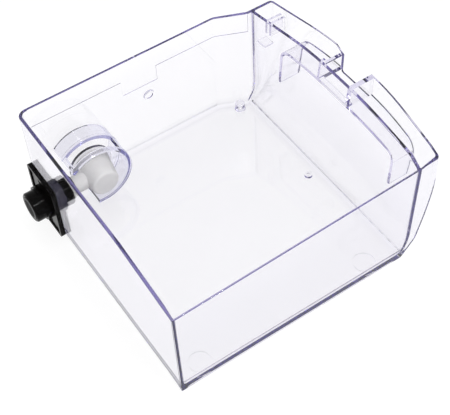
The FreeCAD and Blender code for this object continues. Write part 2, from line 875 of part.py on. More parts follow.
def make_filter_flange():
    """The flange closes the drum's wide far end and plugs into it."""
    plug = "drum_far_radius - drum_wall - 0.05"
    taper = "( drum_far_radius - drum_near_radius ) * flange_plug / ( drum_length - drum_wall )"
    start = "drum_length + 0.02"
    body = make_drum_piece("filter_flange", [
        ("drum_length - flange_plug", "core_radius + 0.05"),
        (start, "core_radius + 0.05"),
        (start, "0"),
        (f"{start} + flange_thickness", "0"),
        (f"{start} + flange_thickness", "flange_radius"),
        (start, "flange_radius"),
        (start, plug),
        ("drum_length - flange_plug", f"{plug} - {taper}"),
    ])
    place_on_drum(body)
    return body


def make_filter_core():
    """A strainer tube with long slots, standing on the flange inside the drum."""
    body = make_drum_piece("filter_core", [
        ("drum_length - core_length", "0"),
        ("drum_length - core_length + core_wall", "0"),
        ("drum_length - core_length + core_wall", "core_radius - core_wall"),
        ("drum_length", "core_radius - core_wall"),
        ("drum_length", "core_radius"),
        ("drum_length - core_length", "core_radius"),
    ])
    slot = new_sketch(body, "core_slot_outline", "XY_Plane", "0")
    draw_polygon(slot, [
        ("drum_length - core_length + core_slot_margin", "0 - core_slot_width / 2"),
        ("drum_length - flange_plug - core_slot_margin / 2", "0 - core_slot_width / 2"),
        ("drum_length - flange_plug - core_slot_margin / 2", "core_slot_width / 2"),
        ("drum_length - core_length + core_slot_margin", "core_slot_width / 2"),
    ])
    cut = pocket(body, slot, "core_slot_cut", "core_radius + 1", True)
    polar_pattern(body, cut, "core_slots", 10)
    place_on_drum(body)
    return body


def make_neck_seal():
    """The O-ring in the neck's groove, turned about the outlet's axis."""
    groove_floor = "neck_radius - neck_groove_depth"
    return make_turned_piece("neck_seal", [
        ("neck_groove_start + 0.05", f"{groove_floor} + 0.01"),
        ("neck_groove_start + neck_groove_width - 0.05", f"{groove_floor} + 0.01"),
        ("neck_groove_start + neck_groove_width - 0.05", "neck_radius - 0.2"),
        ("neck_groove_start + neck_groove_width / 2", "neck_radius + 0.02"),
        ("neck_groove_start + 0.05", "neck_radius - 0.2"),
    ])


def make_filter_hood():
    """A C-shaped guard over the filter: open towards the outlet, slotted across its top."""
    body = new_body("filter_hood")
    far = "tank_width - wall - 0.05"
    ring = new_sketch(body, "hood_section", "XZ_Plane", "0 - hood_near")
    draw_circle(ring, "hood_x", "hood_z", "hood_radius")
    draw_circle(ring, "hood_x", "hood_z", "hood_radius - hood_wall")
    pad(body, ring, "hood_tube", f"{far} - hood_near", True)
    for name, start in (("near_band", "hood_near"), ("slot_band", "hood_slot_end")):
        band = new_sketch(body, f"{name}_outline", "XZ_Plane", f"0 - {start}")
        draw_circle(band, "hood_x", "hood_z", "hood_radius + hood_band")
        draw_circle(band, "hood_x", "hood_z", "hood_radius - hood_wall")
        pad(body, band, name, "hood_band_width", True)
    doc.recompute()
    whole = body.Tip.Shape.Volume
    mouth = new_sketch(body, "hood_mouth_outline", "XZ_Plane", "0 - hood_near + 1")
    draw_polygon(mouth, [
        ("hood_x", "hood_z"),
        ("hood_x - 1.532 * hood_radius", "hood_z + 1.286 * hood_radius"),
        ("hood_x - 1.532 * hood_radius", "hood_z - 1.969 * hood_radius"),
        ("hood_x - 0.347 * hood_radius", "hood_z - 1.969 * hood_radius"),
    ])
    pocket(body, mouth, "hood_mouth", "tank_width - hood_near")
    doc.recompute()
    assert body.Tip.Shape.Volume < whole * 0.8
    foot = new_sketch(body, "hood_foot_cut_outline", "XZ_Plane", "0 - hood_near + 1")
    draw_polygon(foot, [
        ("hood_x - 2 * hood_radius", "0 - 1"),
        ("hood_x + 2 * hood_radius", "0 - 1"),
        ("hood_x + 2 * hood_radius", "floor_thickness + 0.1"),
        ("hood_x - 2 * hood_radius", "floor_thickness + 0.1"),
    ])
    pocket(body, foot, "hood_foot_cut", "tank_width - hood_near")
    slot = new_sketch(body, "hood_slot_outline", "XY_Plane", "hood_slot_foot")
    draw_polygon(slot, [
        ("hood_slot_x", "hood_slot_start"),
        ("hood_slot_reach", "hood_slot_start"),
        ("hood_slot_reach", "hood_slot_end"),
        ("hood_slot_x", "hood_slot_end"),
    ])
    pocket(body, slot, "hood_slot", "hood_z + hood_radius + 2 - hood_slot_foot", True)
    place(body)
    return body


# ---------------------------------------------------------------- check and write

def make_all():
    return [
        make_tank_shell(),
        make_filter_hood(),
        make_connector_body(),
        make_mouth_seal(),
        make_flange_gasket(),
        make_slip_washer(),
        make_retaining_nut(),
        make_valve_poppet(),
        make_poppet_seal(),
        make_valve_spring(),
        make_spring_cage(),
        make_filter_drum(),
        make_filter_flange(),
        make_filter_core(),
        make_neck_seal(),
    ]


def check_document(nodes):
    for item in doc.Objects:
        failed = {"Invalid", "Error"} & set(item.State)
        assert not failed, f"{item.Name} did not build: {item.State}"
    for node in nodes:
        assert not node.Shape.isNull(), f"{node.Label} is empty"
        assert node.Shape.isValid(), f"{node.Label} is not valid"
        assert len(node.Shape.Solids) == 1, f"{node.Label} is not one solid"


nodes = make_all()
doc.recompute()
check_document(nodes)
os.makedirs("parts", exist_ok=True)
for node in nodes:
    node.Shape.exportStep(f"parts/{node.Label}.step")
    box = node.Shape.BoundBox
    print(
        f"{node.Label:16s} X {box.XMin:7.2f} {box.XMax:7.2f}  Y {box.YMin:7.2f} {box.YMax:7.2f}"
        f"  Z {box.ZMin:6.2f} {box.ZMax:6.2f}  volume {node.Shape.Volume:9.1f}"
    )
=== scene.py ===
import json
import math

import bmesh
import bpy
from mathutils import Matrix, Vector


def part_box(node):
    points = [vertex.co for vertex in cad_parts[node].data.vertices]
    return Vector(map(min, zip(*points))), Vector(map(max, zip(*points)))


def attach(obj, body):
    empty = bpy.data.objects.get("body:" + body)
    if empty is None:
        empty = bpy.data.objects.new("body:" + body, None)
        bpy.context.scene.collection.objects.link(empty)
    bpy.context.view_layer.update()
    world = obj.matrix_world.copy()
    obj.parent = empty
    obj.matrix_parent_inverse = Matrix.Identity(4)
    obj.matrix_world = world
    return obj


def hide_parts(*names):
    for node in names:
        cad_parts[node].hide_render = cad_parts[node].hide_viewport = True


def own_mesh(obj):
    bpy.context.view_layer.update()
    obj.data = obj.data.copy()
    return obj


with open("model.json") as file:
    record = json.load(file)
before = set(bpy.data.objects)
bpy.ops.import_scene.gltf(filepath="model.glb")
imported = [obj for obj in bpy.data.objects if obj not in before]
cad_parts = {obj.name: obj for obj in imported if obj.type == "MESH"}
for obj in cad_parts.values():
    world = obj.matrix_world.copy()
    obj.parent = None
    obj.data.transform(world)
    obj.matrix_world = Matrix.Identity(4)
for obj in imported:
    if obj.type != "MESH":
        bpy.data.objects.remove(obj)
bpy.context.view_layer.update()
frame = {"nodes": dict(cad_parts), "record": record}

scene = bpy.context.scene

# Lengths in mm, from the rear near corner of the underside. ABOVE is clear of the rim, and
# ARC_STEPS is how finely each corner is rounded.
MM = 0.001
TANK_LENGTH = 193.0
TANK_WIDTH = 205.0
TANK_HEIGHT = 97.0
LOW_CORNER = 87.5
WALL = 2.5
FLOOR = 3.0
ABOVE = 105.0
ARC_STEPS = 6

# The gap that keeps clear plastic off the black parts, which would darken the light in it.
AIR = 0.03

# The rim: its edge radius, the near wall's inside bevel, and the slope to the rear near corner,
# which starts from a line across that corner and fades out down the walls. Rim points with y
# under NEAR_WALL, and x short of the fascia, are the near wall's.
RIM_EDGE = 0.3
RIM_TURNS = (0, 28, 55, 80)
BEVEL_ACROSS, BEVEL_DOWN = 2.0, 3.2
NEAR_WALL = 4.0
SLOPE_ALONG, SLOPE_ACROSS = 257.0, 66.7
SLOPE_FADES = 55.0

# The upright corners' radii. Those at the far wall shrink inwards, down to ROUND_INSIDE.
SHARP_CORNER, FASCIA_CORNER, INNER_CORNER = 0.8, 3.6, 1.3
FAR_REAR_CORNER, DIAGONAL_CORNER, ROUND_INSIDE = 7.0, 10.0, 2.5

# The lower edge's radius: under the near wall, elsewhere, and what it loses at the front. Then
# the radius of the hollow's edge along the floor.
FOOT_SHARP, FOOT_ROUND, FOOT_LOSS = 0.35, 3.4, 1.5
FLOOR_EDGE = 5.0

# The front: the inner wall's curved foot, the bow, the step beside the far corner, and how
# much the fascia thins upwards.
FOOT_HEIGHT = 26.0
FOOT_REACH = 197.0
TOE_REACH = 187.0
BOW_NEAR, BOW_FAR = 68.0, 133.0
BOW_BEND = 22.0
STEP_Y, STEP_START, STEP_END = 194.5, 167.0, 191.5
STEP_CORNER = 5.0
FASCIA_START = 208.0
FASCIA_THINS, FASCIA_THIN_FROM, FASCIA_THIN_OVER = 1.2, 12.0, 50.0
GAP_REAR, GAP_FRONT = 188.0, 232.0

# How much thinner the far wall is above its level line.
RELIEF = 0.4

# The outlet's axis, in y and z, and the radius of its hole in the rear wall.
OUTLET = (179.0, 27.5)
OUTLET_RADIUS = 9.25

# The spring's wire, as a radius, and its turns.
SPRING_WIRE = 0.4
SPRING_TURNS = 5.5

# How far the studio floor lies below the tank, so that the two never share a plane.
FLOOR_DROP = 0.8

# The fascia's height, its reach at its two ends, and its reach at the bow between them.
FASCIA = [
    (0.0, 193.0, 193.0),
    (14.0, 204.2, 210.0),
    (40.0, 210.6, 220.0),
    (66.0, 214.6, 224.0),
    (97.0, 214.0, 225.5),
    (105.0, 214.0, 226.0),
]


# ---------------------------------------------------------------- meshes

def in_frame(x, y, z):
    """A point in the shared frame, from mm measured at the rear near corner."""
    return Vector(((x - TANK_LENGTH / 2) * MM, (y - TANK_WIDTH / 2) * MM, z * MM))


def round_corner(corner, before, after, radius):
    """An arc at a corner, or a long soft bend where its radius is None."""
    if radius is None:
        start, end = corner + before * BOW_BEND, corner + after * BOW_BEND
        shares = [step / ARC_STEPS for step in range(ARC_STEPS + 1)]
        return [start.lerp(corner, share).lerp(corner.lerp(end, share), share) for share in shares]
    turn = math.pi - before.angle(after)
    reach = radius * math.tan(turn / 2)
    middle = corner + (before + after).normalized() * (radius / math.cos(turn / 2))
    first = (corner + before * reach - middle).normalized()
    last = (corner + after * reach - middle).normalized()
    return [
        middle + first.slerp(last, step / ARC_STEPS) * radius
        for step in range(ARC_STEPS + 1)
    ]


def round_outline(corners, counts=None, span=9.0):
    """Points round a closed outline of (x, y, radius) corners, with an arc at each corner.
    counts is how many points each straight run has, so that two outlines can be joined. Where
    it isn't given, a run has a point about every span mm."""
    arcs = []
    total = len(corners)
    for number, (x, y, radius) in enumerate(corners):
        corner = Vector((x, y, 0))
        before = (Vector((*corners[number - 1][:2], 0)) - corner).normalized()
        after = (Vector((*corners[(number + 1) % total][:2], 0)) - corner).normalized()
        arcs.append(round_corner(corner, before, after, radius))
    if counts is None:
        counts = []
        for number, arc in enumerate(arcs):
            run = (arcs[(number + 1) % total][0] - arc[-1]).length
            counts.append(max(0, round(run / span) - 1))
    points = []
    for number, arc in enumerate(arcs):
        points += arc
        end = arcs[(number + 1) % total][0]
        for step in range(1, counts[number] + 1):
            points.append(arc[-1].lerp(end, step / (counts[number] + 1)))
    return points, counts


def shrunk(ring, share):
    """A ring drawn in towards its middle, so that the cap inside it shades flat."""
    points = [Vector(point) for point in ring]
    middle = sum(points, Vector()) / len(points)
    return [point.lerp(middle, share) for point in points]


def add_fan(form, corners):
    """Close the end of a form with triangles round a middle point."""
    middle = sum((corner.co for corner in corners), Vector()) / len(corners)
    centre = form.verts.new(middle)
    for step, corner in enumerate(corners):
        form.faces.new((corner, corners[(step + 1) % len(corners)], centre))


def closed_form(name, rings):
    """A closed solid through rings of equally many (x, y, z) points, capped at both ends."""
    rings = [shrunk(rings[0], share) for share in (0.3, 0.01)] + rings
    rings += [shrunk(rings[-1], share) for share in (0.01, 0.3)]
    form = bmesh.new()
    loops = [[form.verts.new(in_frame(*point)) for point in ring] for ring in rings]
    count = len(loops[0])
    for low, high in zip(loops, loops[1:]):
        for step in range(count):
            following = (step + 1) % count
            form.faces.new((low[step], low[following], high[following], high[step]))
    add_fan(form, loops[0])
    add_fan(form, loops[-1])
    bmesh.ops.recalc_face_normals(form, faces=form.faces)
    if form.calc_volume(signed=True) < 0:
        bmesh.ops.reverse_faces(form, faces=form.faces)
    mesh = bpy.data.meshes.new(name)
    form.to_mesh(mesh)
    form.free()
    piece = bpy.data.objects.new(name, mesh)
    scene.collection.objects.link(piece)
    return piece


def apply_modifiers(piece):
    """Make what a piece's modifiers do its own mesh."""
    graph = bpy.context.evaluated_depsgraph_get()
    mesh = bpy.data.meshes.new_from_object(piece.evaluated_get(graph), depsgraph=graph)
    piece.modifiers.clear()
    piece.data = mesh


def combine(piece, operation, *others):
    """Cut the others from piece, join them to it or keep what they share, then drop them."""
    for other in others:
        step = piece.modifiers.new("combine", "BOOLEAN")
        step.operation = operation
        step.solver = "MANIFOLD"
        step.object = other
        apply_modifiers(piece)
        bpy.data.objects.remove(other)
    return piece


def cover(piece, material):
    """Give every face of piece one material."""
    piece.data.materials.clear()
    piece.data.materials.append(material)
    piece.data.polygons.foreach_set("material_index", [0] * len(piece.data.polygons))


def soften(piece, angle):
    """Smooth shading, but for edges sharper than angle."""
    piece.data.shade_smooth()
    piece.data.set_sharp_from_angle(angle=math.radians(angle))
    weigh = piece.modifiers.new("weigh", "WEIGHTED_NORMAL")
    weigh.weight = 100
    weigh.keep_sharp = True
    apply_modifiers(piece)


def bar(name, axis, outline, start, end):
    """A straight bar along x or y, from its outline of (across, up, radius) corners."""
    points, _ = round_outline(outline, span=400.0)
    rings = []
    for along in (start, end):
        if axis == "x":
            rings.append([(along, point.x, point.y) for point in points])
        else:
            rings.append([(point.x, along, point.y) for point in points])
    return closed_form(name, rings)


def rectangle(low_x, low_y, high_x, high_y, radius):
    """The four corners of a rectangle, for an outline."""
    return [
        (low_x, low_y, radius), (high_x, low_y, radius),
        (high_x, high_y, radius), (low_x, high_y, radius),
    ]


def turned(name, axis, centre, profile, steps=40):
    """A solid turned about a line along x, y or z: profile is (along, radius) pairs."""
    rings = []
    for along, radius in profile:
        ring = []
        for step in range(steps):
            turn = 2 * math.pi * step / steps
            across, up = radius * math.cos(turn), radius * math.sin(turn)
            if axis == "x":
                ring.append((along, centre[0] + across, centre[1] + up))
            elif axis == "y":
                ring.append((centre[0] + across, along, centre[1] + up))
            else:
                ring.append((centre[0] + across, centre[1] + up, along))
        rings.append(ring)
    return closed_form(name, rings)


def bored(name, axis, centre, profile, bore, steps=40):
    """A turned solid with a turned bore on the same line."""
    solid = turned(name, axis, centre, profile, steps)
    return combine(solid, "DIFFERENCE", turned("bore", axis, centre, bore, steps))


# ---------------------------------------------------------------- tank shell

def fascia_reach(height, column):
    """How far the fascia reaches at a height, with soft bends above the straight chamfer."""
    row = 0
    while height > FASCIA[row + 1][0] and row < len(FASCIA) - 2:
        row += 1
    low, high = FASCIA[row], FASCIA[row + 1]
    rise = high[0] - low[0]
    slope = (high[column] - low[column]) / rise
    share = (height - low[0]) / rise
    if row == 0:
        return low[column] + slope * rise * share
    slopes = []
    for at in (row, row + 1):
        if at <= 1 or at >= len(FASCIA) - 1:
            slopes.append(slope)
        else:
            before, after = FASCIA[at - 1], FASCIA[at + 1]
            slopes.append((after[column] - before[column]) / (after[0] - before[0]))
    cube, square = share ** 3, share ** 2
    return (
        (2 * cube - 3 * square + 1) * low[column]
        + (cube - 2 * square + share) * rise * slopes[0]
        + (3 * square - 2 * cube) * high[column]
        + (cube - square) * rise * slopes[1]
    )


def inner_reach(height, column):
    """How far the outside of the inner front wall reaches: at its near end, bow or far end."""
    top = {"near": 199.5, "bow": 205.5, "far": 196.5}[column]
    if height >= FOOT_HEIGHT:
        share = (height - FOOT_HEIGHT) / (TANK_HEIGHT - FOOT_HEIGHT)
        return FOOT_REACH + (top - FOOT_REACH) * share
    depth = (FOOT_HEIGHT - height) / (FOOT_HEIGHT - FLOOR)
    return TOE_REACH + (FOOT_REACH - TOE_REACH) * math.sqrt(max(0.0, 1 - depth * depth))


def tank_plan(near, bow, far, inset, corner):
    """The tank's plan as corners with radii: its reach at the front, and an inset elsewhere.
    Inside and outside, the rear wall stands clear of the outlet's parts by the air gap."""
    stepped = STEP_Y - inset
    back = TANK_WIDTH - inset
    rear = inset + AIR if inset < WALL / 2 else inset - AIR
    return [
        (rear, inset, SHARP_CORNER),
        (near, inset, corner),
        (bow, BOW_NEAR, None),
        (bow, BOW_FAR, None),
        (far, stepped, corner),
        (min(STEP_END - inset, far - corner - 2.0), stepped, STEP_CORNER),
        (STEP_START - inset / 2, back, max(ROUND_INSIDE, DIAGONAL_CORNER - inset)),
        (rear, back, max(ROUND_INSIDE, FAR_REAR_CORNER - inset)),
    ]


def gap_plan(height, inset):
    """The plan of the gap behind the fascia. Upwards, its corners get rounder."""
    near, bow, far = (inner_reach(height, end) + inset for end in ("near", "bow", "far"))
    share = min(1.0, max(0.0, (height - FASCIA_THIN_FROM) / FASCIA_THIN_OVER))
    skin = WALL - FASCIA_THINS * share
    radius = 0.5 + 0.9 * share
    end = fascia_reach(height, 1) - skin - inset
    middle = fascia_reach(height, 2) - skin - inset
    low, high = WALL + inset, STEP_Y - WALL - inset
    return [
        (near, low, 0.5),
        (end, low, radius + share),
        (middle, BOW_NEAR, None),
        (middle, BOW_FAR, None),
        (end, high, radius),
        (far, high, radius),
        (bow, BOW_FAR, None),
        (bow, BOW_NEAR, None),
    ]


def rim_height(x, y):
    """The rim slopes down to the rear near corner from a line across that corner."""
    share = y / SLOPE_ACROSS + x / SLOPE_ALONG
    sloped = LOW_CORNER + (TANK_HEIGHT - LOW_CORNER) * share
    return min(TANK_HEIGHT, sloped)


def settle(x, y, z):
    """Lower a point of a full-height form to suit the sloping rim."""
    drop = TANK_HEIGHT - rim_height(x, y)
    share = min(1.0, max(0.0, (z - SLOPE_FADES) / (TANK_HEIGHT - SLOPE_FADES)))
    return (x, y, z - drop * share)


def level_ring(outline, height):
    """An outline as a ring of points at one height, lowered where the rim slopes."""
    return [settle(point.x, point.y, height) for point in outline]


def rim_rings(outline, shifted, turns, bevelled=True):
    """Rings round the rim's edge, from an outline and the same outline 1 mm further in or out.
    The rim is nearly flat, but on its inside the near wall has a steep bevel instead."""
    rings = []
    for turn in turns:
        angle = math.radians(turn)
        across, down = RIM_EDGE * (1 - math.cos(angle)), RIM_EDGE * (1 - math.sin(angle))
        ring = []
        for point, moved in zip(outline, shifted):
            if bevelled and point.y < NEAR_WALL and point.x < FASCIA_START:
                share = turn / turns[-1]
                place = point.lerp(moved, BEVEL_ACROSS * share)
                ring.append(settle(place.x, place.y, TANK_HEIGHT - BEVEL_DOWN * (1 - share)))
            else:
                place = point.lerp(moved, across)
                ring.append(settle(place.x, place.y, TANK_HEIGHT - down))
        rings.append(ring)
    return rings


def open_top(rings, outline, wider):
    """Finish a hollow's rings with its rim, and carry them on above the tank."""
    rings += rim_rings(outline, wider, RIM_TURNS)
    rings.append([(x, y, z + ABOVE - TANK_HEIGHT) for x, y, z in rings[-1]])


def outer_outline(height, inset, counts=None):
    """The outside of the tank at one height."""
    end = fascia_reach(height, 1) - inset
    bow = fascia_reach(height, 2) - inset
    corner = max(SHARP_CORNER, FASCIA_CORNER - inset)
    return round_outline(tank_plan(end, bow, end, inset, corner), counts)


def foot_rings(counts):
    """Rings round the lower edge, which is sharp under the near wall and round elsewhere."""
    low, _ = outer_outline(0.0, 0.0, counts)
    high, _ = outer_outline(FOOT_ROUND, 0.0, counts)
    inner, _ = outer_outline(0.0, 1.0, counts)
    rings = []
    for turn in (0, 30, 60, 90):
        angle = math.radians(turn)
        ring = []
        for start, end, inside in zip(low, high, inner):
            full = FOOT_ROUND - FOOT_LOSS * min(1.0, max(0.0, (start.x - 150.0) / 40.0))
            radius = FOOT_SHARP + (full - FOOT_SHARP) * min(1.0, start.y / 12.0)
            height = radius * (1 - math.cos(angle))
            inwards = (inside - start) * radius * (1 - math.sin(angle))
            place = start.lerp(end, height / FOOT_ROUND) + inwards
            ring.append((place.x, place.y, height))
        rings.append(ring)
    return rings


def make_outer_form():
    """The tank as one full block, closed over at the height of its rim."""
    outline, counts = outer_outline(TANK_HEIGHT, 0.0)
    rings = foot_rings(counts)
    for height in (13.0, 14.8, 20, 27, 34, 40, 46, 52, 59, 66, 73, 80, 88, 93.4):
        ring, _ = outer_outline(height, 0.0, counts)
        rings.append(level_ring(ring, height))
    inner, _ = outer_outline(TANK_HEIGHT, 1.0, counts)
    rings += rim_rings(outline, inner, (0, 30, 60, 90), False)
    centre = Vector((115.0, 135.0, 0))
    last = [point.lerp(moved, RIM_EDGE) for point, moved in zip(outline, inner)]
    for share in (0.02, 0.12, 0.3, 0.6):
        ring = [point.lerp(centre, share) for point in last]
        rings.append([(p.x, p.y, rim_height(p.x, p.y)) for p in ring])
    return closed_form("tank", rings)


def hollow_outline(height, inset, counts=None):
    """The inside of the tank at one height."""
    near, bow, far = (inner_reach(height, end) - inset for end in ("near", "bow", "far"))
    return round_outline(tank_plan(near, bow, far, inset, INNER_CORNER), counts)


def make_hollow():
    """The space for the water, with a round edge along the floor."""
    outline, counts = hollow_outline(TANK_HEIGHT, WALL)
    rings = []
    for height in (FLOOR, 3.35, 4.3, 5.8, 8.0, 11, 15, 20, 26, 40, 55, 70, 85, 93.4):
        turn = math.acos(max(0.0, 1 - (height - FLOOR) / FLOOR_EDGE))
        inset = FLOOR_EDGE * (1 - math.sin(turn))
        ring, _ = hollow_outline(height, WALL + inset, counts)
        if height < FOOT_HEIGHT:
            reach = Vector((inset, 0, 0))
            ring = [p + reach * min(1.0, max(0.0, (p.x - 150) / 30)) for p in ring]
        rings.append(level_ring(ring, height))
    wider, _ = hollow_outline(TANK_HEIGHT, WALL - 1.0, counts)
    open_top(rings, outline, wider)
    return closed_form("hollow", rings)


def make_arch():
    """The arch-shaped web across the gap, in front view."""
    return bar("arch", "x", [
        (28.0, 51.0, 1.1), (30.6, 51.0, 1.1), (30.6, 78.4, 6.4), (158.4, 78.4, 6.4),
        (158.4, 47.0, 1.1), (161.0, 47.0, 1.1), (161.0, 81.0, 9.0), (28.0, 81.0, 9.0),
    ], GAP_REAR, GAP_FRONT)


def make_gap():
    """The gap behind the fascia, less the arch, the notch's two webs and two short ribs."""
    outline, counts = round_outline(gap_plan(TANK_HEIGHT, 0.0))
    rings = []
    for height, inset in (
        (3.7, 2.1), (5.2, 0.7), (5.5, 0.3), (6.3, 0.0), (9.0, 0.0), (14.0, 0.0), (20.0, 0.0),
        (26.0, 0.0), (33.0, 0.0), (40.0, 0.0), (46.0, 0.0), (52.0, 0.0), (59.0, 0.0),
        (66.0, 0.0), (73.0, 0.0), (80.0, 0.0), (88.0, 0.0), (93.4, 0.0),
    ):
        ring, _ = round_outline(gap_plan(height, inset), counts)
        rings.append(level_ring(ring, height))
    wider, _ = round_outline(gap_plan(TANK_HEIGHT, -1.0), counts)
    open_top(rings, outline, wider)
    gap = closed_form("gap", rings)
    webs = [
        bar("web", "x", rectangle(near, 79.7, far, 112.0, 0.3), GAP_REAR, GAP_FRONT)
        for near, far in ((82.8, 87.0), (118.0, 120.2))
    ]
    ribs = [
        bar("rib", "x", rectangle(near, 85.0, near + 2.0, 112.0, 0.4), GAP_REAR, 211.0)
        for near in (172.0, 176.2)
    ]
    return combine(gap, "DIFFERENCE", make_arch(), *webs, *ribs)


def make_level_relief():
    """What the far wall loses above its level line, which drops round a label field."""
    _, counts = hollow_outline(TANK_HEIGHT, WALL - RELIEF)
    rings = []
    for height in (58.0, 70.0, 85.0, 95.0, ABOVE + 4.0):
        ring, _ = hollow_outline(height, WALL - RELIEF, counts)
        rings.append(level_ring(ring, height))
    relief = closed_form("relief", rings)
    field = bar("field", "y", [
        (8.0, 79.5, 0.3), (83.0, 79.5, 0.6), (83.0, 65.5, 0.6), (113.5, 65.5, 0.6),
        (113.5, 79.5, 0.6), (190.5, 79.5, 0.3), (190.5, 104.0, 0.3), (8.0, 104.0, 0.3),
    ], 186.0, 212.0)
    return combine(relief, "INTERSECT", field)


def make_bosses():
    """The peg, the floor boss, the wall boss and the ledge in the gap."""
    peg = bored(
        "peg", "z", (179.0, 190.0), [(2.0, 4.4), (3.0, 4.4), (3.8, 4.05), (8.5, 3.95), (9.0, 3.5)],
        [(3.6, 1.8), (4.2, 2.1), (9.5, 2.2)])
    floor_boss = bored(
        "floor_boss", "z", (181.0, 100.0), [(2.0, 3.2), (3.4, 3.1), (4.6, 3.0), (5.0, 2.6)],
        [(3.6, 1.4), (5.5, 1.5)])
    wall_boss = bored(
        "wall_boss", "y", (104.5, 54.0), [(203.6, 4.7), (202.0, 4.6), (201.5, 4.3), (201.3, 3.9)],
        [(202.3, 2.8), (201.0, 3.0)])
    ledge = bar("ledge", "x", rectangle(178.0, 69.0, 187.5, 70.8, 0.5), 195.5, 205.5)
    return peg, floor_boss, wall_boss, ledge


def make_gate_rings():
    """Two shallow ring grooves in the underside, near its corners."""
    return [
        bored("gate_ring", "z", (x, 13.0), [(-1.0, 8.5), (0.3, 8.5)], [(-2.0, 7.9), (1.0, 7.9)], 64)
        for x in (22.0, 165.0)
    ]


def make_tank():
    """The whole tank, cut out of its full block."""
    tank = make_outer_form()
    combine(tank, "DIFFERENCE", make_hollow(), make_gap())
    notch = bar("notch", "x", [
        (87.0, 76.0, 1.6), (118.0, 76.0, 1.6), (118.0, 92.5, 1.2),
        (127.0, 97.0, 2.0), (127.0, 112.0, 0.5), (87.0, 112.0, 0.5),
    ], FASCIA_START, 234.0)
    outlet = turned("outlet", "x", OUTLET, [(-3.0, OUTLET_RADIUS), (6.0, OUTLET_RADIUS)], 48)
    combine(tank, "DIFFERENCE", notch, outlet, make_level_relief(), *make_gate_rings())
    combine(tank, "UNION", *make_bosses())
    soften(tank, 34)
    return tank


# ---------------------------------------------------------------- valve spring

def make_spring():
    """The valve's coil spring, closed at both ends, and its length and its fixed end."""
    low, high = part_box("valve_spring")
    wire = SPRING_WIRE * MM
    centre = (low + high) / 2
    radius = (high.y - low.y) / 2 - wire
    length = high.x - low.x - 2 * wire
    rings = []
    count, sides = 240, 10
    closed_end = 0.13
    for step in range(count + 1):
        share = step / count
        turn = 2 * math.pi * SPRING_TURNS * share
        lead = min(1.0, max(0.0, (share - closed_end) / (1 - 2 * closed_end)))
        out = Vector((0.0, math.cos(turn), math.sin(turn)))
        along = Vector((1.0, 0.0, 0.0))
        middle = Vector((low.x + wire + length * lead, centre.y, centre.z)) + out * radius
        ring = []
        for side in range(sides):
            angle = 2 * math.pi * side / sides
            place = middle + (out * math.cos(angle) + along * math.sin(angle)) * wire
            ring.append((
                place.x / MM + TANK_LENGTH / 2, place.y / MM + TANK_WIDTH / 2, place.z / MM))
        rings.append(ring)
    coil = closed_form("spring_coil", rings)
    soften(coil, 50)
    return coil, high.x - low.x, (high.x, centre.y, centre.z)


# ---------------------------------------------------------------- materials

def new_material(name):
    """A material with the default shader, and the nodes and links it is built with."""
    material = bpy.data.materials.new(name)
    material.use_nodes = True
    return material, material.node_tree.nodes, material.node_tree.links


def add_noise(nodes, links, scale, detail, stretch=(1.0, 1.0, 1.0)):
    """Noise that is fixed to the piece, with its scale in features per metre."""
    place = nodes.new("ShaderNodeTexCoord")
    mapping = nodes.new("ShaderNodeMapping")
    mapping.inputs["Scale"].default_value = stretch
    noise = nodes.new("ShaderNodeTexNoise")
    noise.inputs["Scale"].default_value = scale
    noise.inputs["Detail"].default_value = detail
    noise.inputs["Roughness"].default_value = 0.6
    links.new(place.outputs["Object"], mapping.inputs["Vector"])
    links.new(mapping.outputs["Vector"], noise.inputs["Vector"])
    return noise.outputs["Fac"]


def spread(nodes, links, factor, low, high):
    """Noise's middle range spread from low to high."""
    span = nodes.new("ShaderNodeMapRange")
    span.inputs["From Min"].default_value = 0.3
    span.inputs["From Max"].default_value = 0.7
    span.inputs["To Min"].default_value = low
    span.inputs["To Max"].default_value = high
    links.new(factor, span.inputs["Value"])
    return span.outputs["Result"]


def add_shades(nodes, links, factor, first, second):
    """Two close shades in soft patches, for a shader's colour."""
    ramp = nodes.new("ShaderNodeValToRGB")
    ramp.color_ramp.elements[0].position = 0.32
    ramp.color_ramp.elements[0].color = (*first, 1)
    ramp.color_ramp.elements[1].position = 0.68
    ramp.color_ramp.elements[1].color = (*second, 1)
    links.new(factor, ramp.inputs["Fac"])
    links.new(ramp.outputs["Color"], nodes["Principled BSDF"].inputs["Base Color"])


def add_bumps(nodes, links, heights):
    """One bump on another, from (factor, depth in metres, strength)."""
    below = None
    for factor, depth, strength in heights:
        bump = nodes.new("ShaderNodeBump")
        bump.inputs["Distance"].default_value = depth
        bump.inputs["Strength"].default_value = strength
        links.new(factor, bump.inputs["Height"])
        if below:
            links.new(below, bump.inputs["Normal"])
        below = bump.outputs["Normal"]
    links.new(below, nodes["Principled BSDF"].inputs["Normal"])


def clear_plastic(name, tint, density, rough, ripple):
    """Water-clear plastic: violet in its depth, with soft mould ripples, haze and rubbed marks."""
    material, nodes, links = new_material(name)
    shader = nodes["Principled BSDF"]
    shader.inputs["Base Color"].default_value = (1.0, 1.0, 1.0, 1)
    shader.inputs["Transmission Weight"].default_value = 1.0
    shader.inputs["IOR"].default_value = 1.5
    haze = add_noise(nodes, links, 38.0, 4.0)
    links.new(spread(nodes, links, haze, rough * 0.4, rough * 1.7), shader.inputs["Roughness"])
    waves = add_noise(nodes, links, 26.0, 1.0, (1.0, 1.0, 0.45))
    rubbed = add_noise(nodes, links, 420.0, 2.0, (0.12, 1.0, 0.3))
    add_bumps(nodes, links, [(waves, ripple, 0.5), (rubbed, 0.000002, 0.25)])
    absorb = nodes.new("ShaderNodeVolumeAbsorption")
    absorb.inputs["Color"].default_value = (*tint, 1)
    absorb.inputs["Density"].default_value = density
    links.new(absorb.outputs["Volume"], nodes["Material Output"].inputs["Volume"])
    return material


